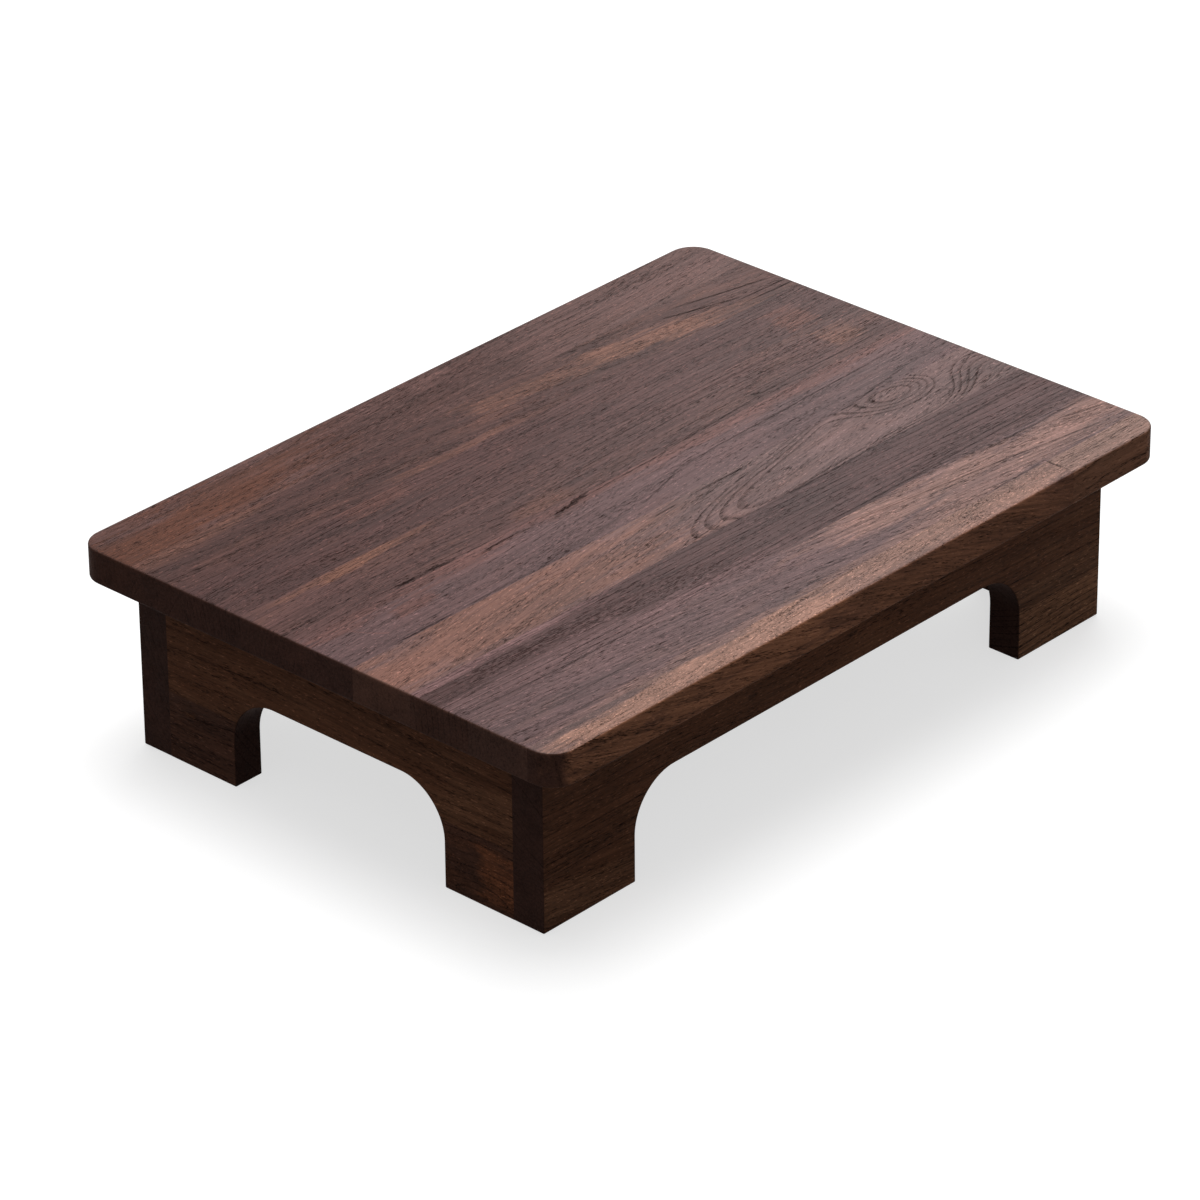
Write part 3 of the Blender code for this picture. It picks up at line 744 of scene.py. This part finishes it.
def planed_stave_tree():
    """A stave between its joints: a fine box that follows the panel's round corners and eased edges."""
    sizes = ("Left", "Right", "Front", "Back", "Underside", "Top")
    panel = ("Half Length", "Half Width", "Corner Radius", "Edge Ease")
    inputs = {name: "Float" for name in sizes + panel}
    inputs.update({"Along": "Int", "Across": "Int", "Deep": "Int", "Finish": "Material"})
    tree, given, made = start_tree("planed_stave", "GeometryNodeTree", inputs, {"Mesh": "Geometry"})
    tree.is_modifier = True
    counts = {"Vertices X": given["Along"], "Vertices Y": given["Across"], "Vertices Z": given["Deep"]}
    blank = put(tree, "GeometryNodeMeshCube", {"Size": (2.0, 2.0, 2.0), **counts})

    # The grid is drawn together towards each edge, where the rounding is
    place = []
    limits = ((given["Left"], given["Right"]), (given["Front"], given["Back"]),
              (given["Underside"], given["Top"]))
    for share, (low, high) in zip(split(tree, put(tree, "GeometryNodeInputPosition").outputs[0]), limits):
        crowded = (share * (math.pi / 2)).math("SINE")
        place.append((low + high) * 0.5 + (high - low) * 0.5 * crowded)
    x, y, z = place

    # How far each point lies past the core of the panel, and how far that is from the outline
    radius, ease = given["Corner Radius"], given["Edge Ease"]
    core_x = given["Half Length"] - radius
    core_y = given["Half Width"] - radius
    near_x = x.math("MINIMUM", core_x).math("MAXIMUM", core_x * -1.0)
    near_y = y.math("MINIMUM", core_y).math("MAXIMUM", core_y * -1.0)
    past_x, past_y = x - near_x, y - near_y
    reach = past_x.math("ABSOLUTE").math("MAXIMUM", past_y.math("ABSOLUTE"))

    # The square edge between side and face becomes a quarter round
    level = (given["Top"] - z).math("MINIMUM", z - given["Underside"])
    out = (ease - radius + reach).math("MAXIMUM", 0.0)
    up = (ease - level).math("MAXIMUM", 0.0)
    shrink = out.math("MAXIMUM", up) / (out * out + up * up).math("SQRT")
    eased_reach = reach - out * (1.0 - shrink)
    upper_half = (z - (given["Top"] + given["Underside"]) * 0.5).math("SIGN")
    eased_z = z - upper_half * up * (1.0 - shrink)
    length = (past_x * past_x + past_y * past_y).math("SQRT")
    eased_x = near_x + past_x / length * eased_reach
    eased_y = near_y + past_y / length * eased_reach

    shaped = put(tree, "GeometryNodeSetPosition", {
        "Geometry": blank.outputs["Mesh"], "Position": joined(tree, eased_x, eased_y, eased_z)})
    # Points on the eased edges are marked for wear and a painted highlight
    on_edge = out.math("GREATER_THAN", 0.0) * up.math("GREATER_THAN", 0.0)
    wear_and_highlight = put(tree, "GeometryNodeStoreNamedAttribute", {
        "Geometry": shaped.outputs[0], "Name": "edge_wear_and_highlight", "Value": on_edge},
        data_type="FLOAT", domain="POINT")
    finish_tree(tree, wear_and_highlight.outputs[0], given["Finish"], made["Mesh"])
    return tree


planed_stave = planed_stave_tree()


def add_stave(node, left, right, front, back, finish):
    """Planes one stave to its joints and lays it in the panel."""
    stave = plain_mesh_from(planed_stave, node + "_planed", {
        "Left": left, "Right": right, "Front": front, "Back": back, "Underside": top_underside,
        "Top": top_face, "Half Length": table_end, "Half Width": table_side, "Corner Radius": CORNER_RADIUS,
        "Edge Ease": EDGE_EASE, "Along": GRID_ALONG, "Across": GRID_ACROSS, "Deep": GRID_DEEP,
        "Finish": finish},
        bpy.data.meshes.new(node + "_blank"))
    keep_as(stave, "top_wood", node)


def stave_finish(name, seed, body, warm, pith, **figure):
    """Staves are waxed on their broad face; their edges, cut after gluing, have soaked up more stain."""
    return timber_finish(name, seed, body, warm, pith, TOP_AXES, wax=STAVE_WAX, sawn_stain_and_shade=EDGE_TINT,
                         **figure)


# The check along the middle of the panel wanders over a joint: its two ends are in the fourth stave
check_ends = [streak(-0.162, 0.0108, 0.012, 0.0016, ragged=0.8, strength=0.9),
              streak(-0.139, 0.0100, 0.014, 0.0017, slope=-0.12, ragged=0.9, strength=0.8),
              streak(-0.0855, 0.0183, 0.006, 0.0013, slope=-0.2, strength=0.7),
              streak(0.080, 0.0112, 0.055, 0.0009, slope=0.06, ragged=0.9, strength=0.7),
              streak(0.178, 0.0155, 0.065, 0.0009, ragged=0.9, strength=0.7),
              streak(0.127, 0.0168, 0.004, 0.0022, strength=0.7)]
check_middle = [streak(-0.097, 0.0042, 0.017, 0.0011, slope=0.03, ragged=0.7, strength=0.9),
                streak(-0.073, 0.0030, 0.014, 0.0008, ragged=0.9, strength=0.6),
                streak(-0.041, 0.0050, 0.021, 0.0022, slope=0.14, ragged=0.8),
                streak(0.010, 0.0068, 0.045, 0.0009, slope=0.03, ragged=0.9, strength=0.8)]
stave_finishes = [
    stave_finish(
        "back_stave", 1.3, (0.092, 0.042, 0.036), (0.080, 0.025, 0.0125), (0.42, 0.05), drift=0.03,
        lines=0.5,
        warm_streaks=[streak(-0.220, 0.151, 0.180, 0.028, slope=0.03, ragged=0.7)],
        veins=[
            streak(-0.010, 0.150, 0.120, 0.032, ragged=0.7, strength=0.35),
            streak(0.064, 0.145, 0.018, 0.0008, slope=0.32, strength=0.4)]),
    stave_finish(
        "second_stave", 2.7, (0.059, 0.023, 0.019), (0.165, 0.068, 0.044), (-0.10, 0.02), drift=-0.10,
        lines=0.6,
        warm_streaks=[
            streak(0.050, 0.1160, 0.060, 0.012, slope=-0.17, ragged=0.8, strength=0.6),
            streak(0.137, 0.1075, 0.065, 0.014, slope=-0.17, ragged=0.8, strength=0.9),
            streak(0.188, 0.0990, 0.045, 0.008, slope=-0.15, ragged=0.8, strength=0.5),
            streak(-0.220, 0.130, 0.100, 0.008, slope=0.03, ragged=0.8, strength=0.35),
            streak(-0.038, 0.095, 0.060, 0.005, ragged=0.8, strength=0.4)],
        veins=[
            streak(0.120, 0.130, 0.040, 0.0030, slope=-0.09, ragged=0.7, strength=0.3),
            streak(0.188, 0.112, 0.036, 0.0012, slope=-0.29, strength=0.8),
            streak(0.209, 0.117, 0.040, 0.0011, slope=-0.22, strength=0.9),
            streak(0.232, 0.102, 0.024, 0.0010, slope=-0.05, strength=0.9),
            streak(0.232, 0.097, 0.024, 0.0009, slope=-0.05, strength=0.9)]),
    stave_finish(
        "third_stave", 3.1, (0.064, 0.0260, 0.0230), (0.112, 0.043, 0.032), (0.40, 0.00), ring_width=0.003,
        even=0.5,
        warm_streaks=[
            streak(-0.110, 0.086, 0.034, 0.012, ragged=0.9, strength=0.6),
            streak(0.212, 0.060, 0.016, 0.018, ragged=0.9, strength=0.9)],
        veins=[streak(0.130, 0.072, 0.060, 0.0008, ragged=0.9, strength=0.4)]),
    stave_finish(
        "fourth_stave", 4.9, (0.075, 0.0318, 0.0278), (0.150, 0.062, 0.040), (-0.35, 0.05),
        ring_width=0.003, even=0.5,
        warm_streaks=[
            streak(-0.165, 0.0470, 0.040, 0.0060, ragged=0.8),
            streak(-0.170, 0.0475, 0.080, 0.0035, ragged=0.8, strength=0.6),
            streak(-0.050, 0.0165, 0.030, 0.010, ragged=0.7, strength=0.4),
            streak(0.216, 0.030, 0.016, 0.016, ragged=0.9, strength=0.6)],
        veins=[
            streak(0.110, 0.0500, 0.140, 0.0008, ragged=0.9, strength=0.5),
            streak(0.080, 0.0415, 0.120, 0.0010, ragged=0.9, strength=0.5),
            *check_ends],
        crowds=[streak(-0.150, 0.0110, 0.030, 0.0034, slope=-0.06, ragged=0.6, strength=0.9)]),
    stave_finish(
        "fifth_stave", 5.2, (0.092, 0.047, 0.046), (0.108, 0.045, 0.038), (0.30, 0.05), drift=0.04,
        lines=0.3,
        warm_streaks=[
            streak(-0.178, -0.010, 0.020, 0.008, ragged=0.9),
            streak(0.0, 0.008, 0.400, 0.012, ragged=0.9)],
        veins=[
            streak(0.006, -0.0183, 0.024, 0.0010, slope=0.27, ragged=0.8, strength=0.6),
            streak(0.132, -0.0073, 0.115, 0.0010, slope=0.022, ragged=0.8, strength=0.7),
            streak(0.172, -0.0290, 0.050, 0.0009, slope=0.14, ragged=0.8, strength=0.6),
            streak(-0.195, -0.0317, 0.030, 0.0011, ragged=0.6, strength=0.8),
            streak(-0.138, -0.0312, 0.028, 0.0009, ragged=0.9, strength=0.5),
            *check_middle],
        crowds=[streak(-0.041, 0.0054, 0.021, 0.0034, slope=0.14, ragged=0.5)],
        pale_marks=[
            streak(-0.2165, -0.0140, 0.0080, 0.0018, slope=-1.4, bend=60.0, ragged=0.3, strength=0.35)]),
    # A few close rings arch across the sixth stave, and two old branches swirl them near its right end
    stave_finish(
        "sixth_stave", 6.4, (0.119, 0.0635, 0.0585), (0.158, 0.070, 0.0505), (-0.0663, 0.0478), drift=0.12,
        rise=0.03, ring_width=0.00067, first_ring=0.0746, ring_count=4.0, late_share=0.6, waver=0.0010,
        even=0.85, lines=0.65, end_stain=PALE_END,
        knots=[(0.186, -0.042, 0.074, 0.030, 0.0072), (0.243, -0.048, 0.080, 0.046, 0.0072)],
        warm_streaks=[streak(-0.230, -0.054, 0.250, 0.034, ragged=0.6)],
        veins=[
            streak(-0.012, -0.0383, 0.014, 0.0010, ragged=0.6, strength=0.8),
            streak(0.036, -0.0368, 0.024, 0.0012, ragged=0.5, strength=0.9)]),
    stave_finish(
        "seventh_stave", 7.7, (0.058, 0.0232, 0.0213), (0.109, 0.055, 0.0535), (0.30, 0.05), drift=-0.03,
        ring_width=0.0042, late_share=0.35, fine_lines=2.0, waver=0.002, even=0.8, lines=1.0,
        end_stain=MID_END,
        warm_streaks=[streak(-0.190, -0.110, 0.220, 0.016, slope=-0.03, ragged=0.8)],
        veins=[
            streak(0.075, -0.0756, 0.040, 0.0011, ragged=0.6, strength=0.7),
            streak(0.200, -0.0890, 0.055, 0.0009, ragged=0.7, strength=0.6),
            streak(0.150, -0.1095, 0.110, 0.0008, ragged=0.7, strength=0.6),
            streak(0.130, -0.1135, 0.120, 0.0009, ragged=0.7, strength=0.7)],
        crowds=[streak(-0.130, -0.0925, 0.130, 0.0100, slope=-0.10, ragged=0.7, strength=0.65)],
        pale_marks=[streak(-0.220, -0.0755, 0.130, 0.0060, ragged=0.6, strength=0.8)]),
    stave_finish(
        "eighth_stave", 8.8, (0.102, 0.053, 0.052), (0.206, 0.106, 0.085), (0.25, 0.05), drift=-0.12,
        ring_width=0.003, lines=0.55, end_stain=PALE_END,
        warm_streaks=[
            streak(0.150, -0.134, 0.175, 0.018, slope=-0.10, ragged=0.7),
            streak(0.160, -0.150, 0.110, 0.012, ragged=0.8, strength=0.8),
            streak(-0.040, -0.156, 0.240, 0.006, ragged=0.9, strength=0.6)],
        veins=[
            streak(0.140, -0.1360, 0.120, 0.0010, slope=-0.153, bend=-0.1, strength=0.6),
            streak(0.190, -0.1165, 0.150, 0.0080, slope=-0.05, ragged=0.5, strength=0.45),
            streak(0.160, -0.1195, 0.100, 0.0012, slope=-0.04, ragged=0.6, strength=0.5),
            streak(0.205, -0.1240, 0.060, 0.0014, slope=-0.03, ragged=0.6, strength=0.6),
            streak(0.231, -0.1335, 0.018, 0.0014, slope=-0.25, strength=0.7),
            streak(-0.170, -0.1380, 0.060, 0.0008, ragged=0.9, strength=0.5),
            streak(-0.180, -0.1500, 0.045, 0.0008, ragged=0.9, strength=0.4),
            streak(0.148, -0.1562, 0.026, 0.0010, ragged=0.3, strength=0.7)]),
]
stave_names = [f"top_stave_{number}" for number in range(1, STAVE_COUNT + 1)]
rows = stave_names + ["front_stave_left"]
inner_joints = [joint_between(one, other, 1) for one, other in zip(rows, rows[1:])]
stave_joints = [table_side, *inner_joints, -table_side]
for number, (node, finish) in enumerate(zip(stave_names, stave_finishes)):
    add_stave(node, -table_end, table_end, stave_joints[number + 1], stave_joints[number], finish)

# The front stave is two lengths, and the thin open line between their ends shows on the finished panel
TAN = (0.206, 0.110, 0.083)
PALE_TAN = (0.276, 0.140, 0.099)
GREY_TAN = (0.186, 0.101, 0.078)
GREY_BROWN = (0.112, 0.060, 0.053)
open_end = streak(0.171, -0.1630, 0.0011, 0.0125, ragged=0.2, strength=0.8)
# The left length has stronger pale specks: partly wood fleck, partly painted glints
left_finish = stave_finish(
    "front_stave_left", 9.6, GREY_BROWN, PALE_TAN, (0.09, 0.04), rise=-0.25, ring_width=0.003, lines=0.5,
    flecks=1.2,
    warm_streaks=[
        streak(-0.125, -0.1704, 0.150, 0.014, slope=0.039, ragged=0.5, strength=1.4),
        streak(0.065, -0.167, 0.180, 0.030, ragged=0.6, strength=0.6)],
    veins=[open_end])
right_finish = stave_finish(
    "front_stave_right", 10.4, GREY_TAN, TAN, (0.25, 0.05), ring_width=0.0026, even=0.6, veins=[open_end])
front_joint = stave_joints[-2]
end_joint = joint_between("front_stave_right", "front_stave_left", 0)
add_stave("front_stave_left", -table_end, end_joint, -table_side, front_joint, left_finish)
add_stave("front_stave_right", end_joint, table_end, -table_side, front_joint, right_finish)


# Studio floor and light
# A seamless pale floor under a large soft lamp nearly overhead, and a low soft window behind on the right.
# Floor and sky are white to the eye, in wax and in metal, but throw only a little of it back on the wood.
FLOOR_SIZE = 24.0
FLOOR_DROP = 0.0002
FLOOR_WHITE = 0.45
FLOOR_GLOW = 0.65
FLOOR_BOUNCE = 0.10
SKY_FILL = 0.32

floor_mesh = bpy.data.meshes.new("studio_floor")
floor_shape = bmesh.new()
bmesh.ops.create_grid(floor_shape, x_segments=1, y_segments=1, size=FLOOR_SIZE / 2)
bmesh.ops.translate(floor_shape, vec=(0.0, 0.0, -FLOOR_DROP), verts=floor_shape.verts)
floor_shape.to_mesh(floor_mesh)
floor_shape.free()
floor = bpy.data.objects.new("studio_floor", floor_mesh)
bpy.context.scene.collection.objects.link(floor)


def looked_at(tree):
    """Where the background is seen: by the camera, in a gloss or through glass."""
    ray = put(tree, "ShaderNodeLightPath").outputs
    seen = Field(tree, ray["Is Camera Ray"])
    for kind in ("Is Glossy Ray", "Is Transmission Ray"):
        seen = seen.math("MAXIMUM", ray[kind])
    return seen


floor_material = bpy.data.materials.new("studio_floor")
floor_material.use_nodes = True
tree = floor_material.node_tree
shader = tree.nodes["Principled BSDF"]
shader.inputs["Roughness"].default_value = 1.0
shader.inputs["Specular IOR Level"].default_value = 0.0
shader.inputs["Emission Color"].default_value = (1.0, 1.0, 1.0, 1.0)
seen = looked_at(tree)
tree.links.new((FLOOR_BOUNCE + seen * (FLOOR_WHITE - FLOOR_BOUNCE)).socket, shader.inputs["Base Color"])
tree.links.new((seen * FLOOR_GLOW).socket, shader.inputs["Emission Strength"])
floor_mesh.materials.append(floor_material)

world = bpy.data.worlds.new("studio_sky")
bpy.context.scene.world = world
world.use_nodes = True
tree = world.node_tree
level = SKY_FILL + looked_at(tree) * (1.0 - SKY_FILL)
tree.links.new(level.socket, tree.nodes["Background"].inputs["Strength"])
tree.nodes["Background"].inputs["Color"].default_value = (1.0, 1.0, 1.0, 1.0)


def softbox(name, place, size, power):
    """A square lamp with a diffuser, turned towards the top."""
    lamp = bpy.data.lights.new(name, "AREA")
    lamp.shape = "SQUARE"
    lamp.size = size
    lamp.energy = power
    stand = bpy.data.objects.new(name, lamp)
    stand.location = place
    stand.rotation_euler = (Vector(place) - Vector((0.0, 0.0, top_face))).to_track_quat("Z", "Y").to_euler()
    bpy.context.scene.collection.objects.link(stand)


softbox("overhead_softbox", place=(0.20, 0.20, 2.0), size=1.5, power=40.0)
softbox("window_softbox", place=(1.12, 0.52, 0.75), size=0.9, power=4.4)


# Camera
# A long lens from above the near left corner, as the table was photographed.
# It is rolled by just under half a degree.
CAMERA_AIM = Vector((-0.0270, -0.0034, 0.062))
CAMERA_DISTANCE = 3.5725
CAMERA_AZIMUTH = math.radians(-47.36)
CAMERA_ELEVATION = math.radians(28.85)
CAMERA_ROLL = math.radians(-0.4886)
CAMERA_LENS = 194.60
SENSOR_WIDTH = 36.0
camera_data = bpy.data.cameras.new("camera")
camera_data.lens = CAMERA_LENS
camera_data.sensor_width = SENSOR_WIDTH
camera = bpy.data.objects.new("camera", camera_data)
level_run = math.cos(CAMERA_ELEVATION)
back = Vector((math.sin(CAMERA_AZIMUTH) * level_run, -math.cos(CAMERA_AZIMUTH) * level_run,
               math.sin(CAMERA_ELEVATION)))
camera.location = CAMERA_AIM + back * CAMERA_DISTANCE
camera.rotation_mode = "QUATERNION"
roll = Matrix.Rotation(CAMERA_ROLL, 3, "Z").to_quaternion()
camera.rotation_quaternion = back.to_track_quat("Z", "Y") @ roll
bpy.context.scene.collection.objects.link(camera)
bpy.context.scene.camera = camera
bpy.context.scene.view_settings.view_transform = "Standard"
